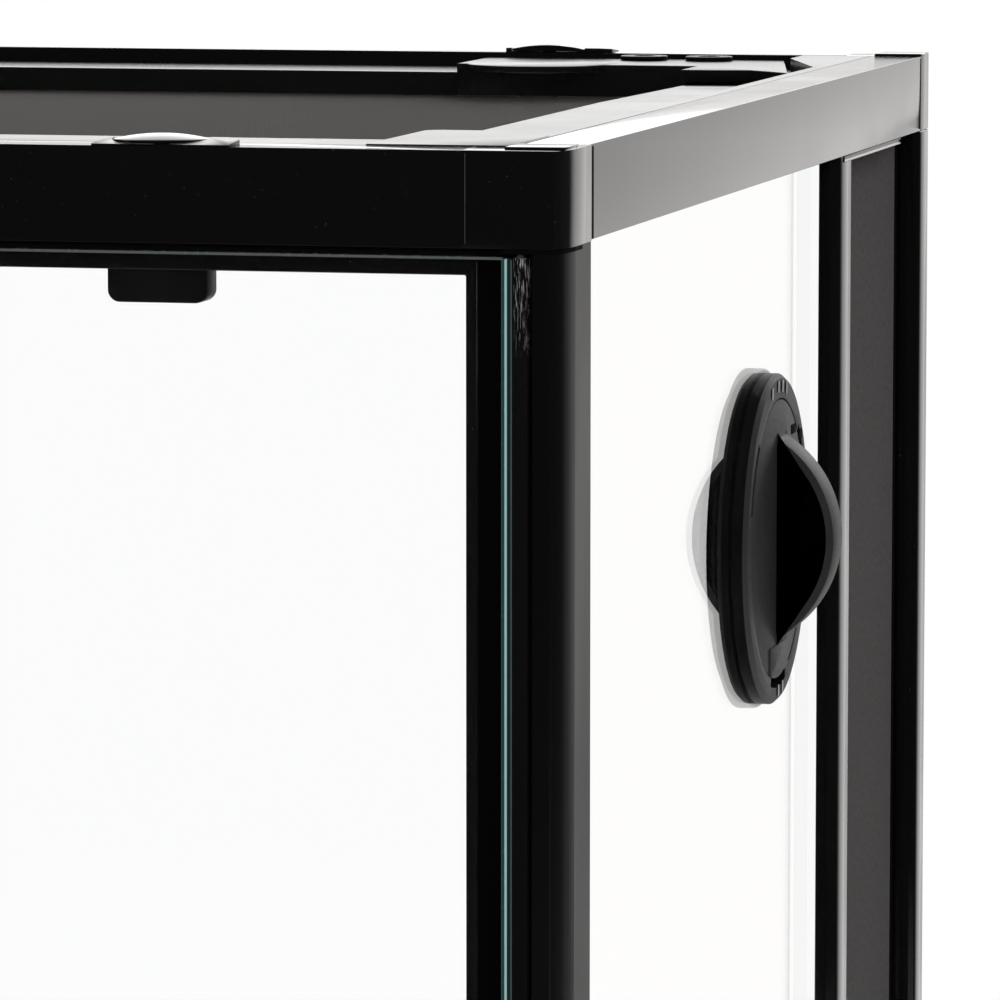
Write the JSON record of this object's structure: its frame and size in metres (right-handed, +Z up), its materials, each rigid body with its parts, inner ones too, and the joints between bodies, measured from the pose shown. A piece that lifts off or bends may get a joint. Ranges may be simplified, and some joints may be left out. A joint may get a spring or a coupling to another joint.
{
  "type": "reptile terrarium",
  "caption": "Black framed glass reptile tank with twin hinged front doors, a turn-and-pull feeding port, rear side mesh vents and a latched lift-off screen lid.",
  "frame": {"origin": "on the floor, under the middle of the rail frame", "axes": "+X to the right seen from the doors, +Y to the rear, +Z up"},
  "size_m": [0.6267, 0.627, 0.6128],
  "materials": {
    "gloss_black": "gloss",
    "matte_black": "fine texture",
    "clear_glass": "clear float glass, green edges",
    "clear_strip": "clear",
    "black_rubber": "matte",
    "bright_steel": "polished",
    "dark_mesh": "matte black wire"
  },
  "bodies": {
    "tank": {"top_front_rail": "gloss_black", "top_rear_rail": "gloss_black", "top_left_rail": "gloss_black", "top_right_rail": "gloss_black", "bottom_front_rail": "gloss_black", "bottom_rear_rail": "gloss_black", "bottom_left_rail": "gloss_black", "bottom_right_rail": "gloss_black", "top_corner_front_left": "gloss_black", "top_corner_front_right": "gloss_black", "top_corner_rear_left": "gloss_black", "top_corner_rear_right": "gloss_black", "bottom_corner_front_left": "gloss_black", "bottom_corner_front_right": "gloss_black", "bottom_corner_rear_left": "gloss_black", "bottom_corner_rear_right": "gloss_black", "post_front_left": "gloss_black", "post_front_right": "gloss_black", "post_rear_left": "gloss_black", "post_rear_right": "gloss_black", "feet": "black_rubber", "floor_ledge": "gloss_black", "floor_glass": "clear_glass", "lid_ledge": "gloss_black", "left_glass": "clear_glass", "right_glass": "clear_glass", "rear_glass": "clear_glass", "dam_glass": "clear_glass", "left_mullion": "gloss_black", "right_mullion": "gloss_black", "left_vent_frame": "gloss_black", "right_vent_frame": "gloss_black", "left_vent_mesh": "dark_mesh", "right_vent_mesh": "dark_mesh", "door_sill": "gloss_black", "door_stop_frame": "gloss_black", "hinge_pins": "bright_steel", "latch_housings": "gloss_black", "latch_bases": "gloss_black", "port_ring": "matte_black", "port_flange": "matte_black"},
    "left_door": {"left_door_glass": "clear_glass", "left_hinge_leaf": "gloss_black", "left_door_handle": "gloss_black", "door_seal": "clear_strip"},
    "right_door": {"right_door_glass": "clear_glass", "right_hinge_leaf": "gloss_black", "right_door_handle": "gloss_black", "lock_body": "bright_steel"},
    "lock_plug": {"lock_plug": "bright_steel"},
    "lid": {"lid_frame": "gloss_black", "lid_screen": "dark_mesh", "cable_modules": "gloss_black", "cable_grommets": "black_rubber"},
    "port_pull": {"port_seal": "black_rubber"},
    "port_cap": {"port_cap": "matte_black"},
    "knob_front_left": {"latch_knob_front_left": "gloss_black"},
    "knob_front_right": {"latch_knob_front_right": "gloss_black"},
    "knob_rear_left": {"latch_knob_rear_left": "gloss_black"},
    "knob_rear_right": {"latch_knob_rear_right": "gloss_black"}
  },
  "joints": [
    {"name": "right_door_swing", "type": "hinge", "parent": "tank", "child": "right_door", "pos_m": [0.2934, -0.3026, 0.3375], "axis": [0, 0, 1], "range_deg": [0, 115]},
    {"name": "left_door_swing", "type": "hinge", "parent": "tank", "child": "left_door", "pos_m": [-0.2934, -0.3026, 0.3375], "axis": [0, 0, -1], "range_deg": [0, 115]},
    {"name": "lock_turn", "type": "hinge", "parent": "right_door", "child": "lock_plug", "pos_m": [0.022, -0.305, 0.4235], "axis": [0, 1, 0], "range_deg": [0, 90]},
    {"name": "lid_lift", "type": "slide", "parent": "tank", "child": "lid", "axis": [0, 0, 1], "range_m": [0, 0.12]},
    {"name": "latch_front_left_turn", "type": "hinge", "parent": "tank", "child": "knob_front_left", "pos_m": [-0.187, -0.29, 0.61], "axis": [0, 0, 1], "range_deg": [0, 90]},
    {"name": "latch_front_right_turn", "type": "hinge", "parent": "tank", "child": "knob_front_right", "pos_m": [0.187, -0.29, 0.61], "axis": [0, 0, 1], "range_deg": [0, 90]},
    {"name": "latch_rear_left_turn", "type": "hinge", "parent": "tank", "child": "knob_rear_left", "pos_m": [-0.167, 0.29, 0.61], "axis": [0, 0, 1], "range_deg": [0, 90]},
    {"name": "latch_rear_right_turn", "type": "hinge", "parent": "tank", "child": "knob_rear_right", "pos_m": [0.167, 0.29, 0.61], "axis": [0, 0, 1], "range_deg": [0, 90]},
    {"name": "port_draw", "type": "slide", "parent": "tank", "child": "port_pull", "axis": [1, 0, 0], "range_m": [0, 0.045]},
    {"name": "port_turn", "type": "hinge", "parent": "port_pull", "child": "port_cap", "pos_m": [0.297, 0.033, 0.464], "axis": [1, 0, 0], "range_deg": [0, 45]}
  ]
}
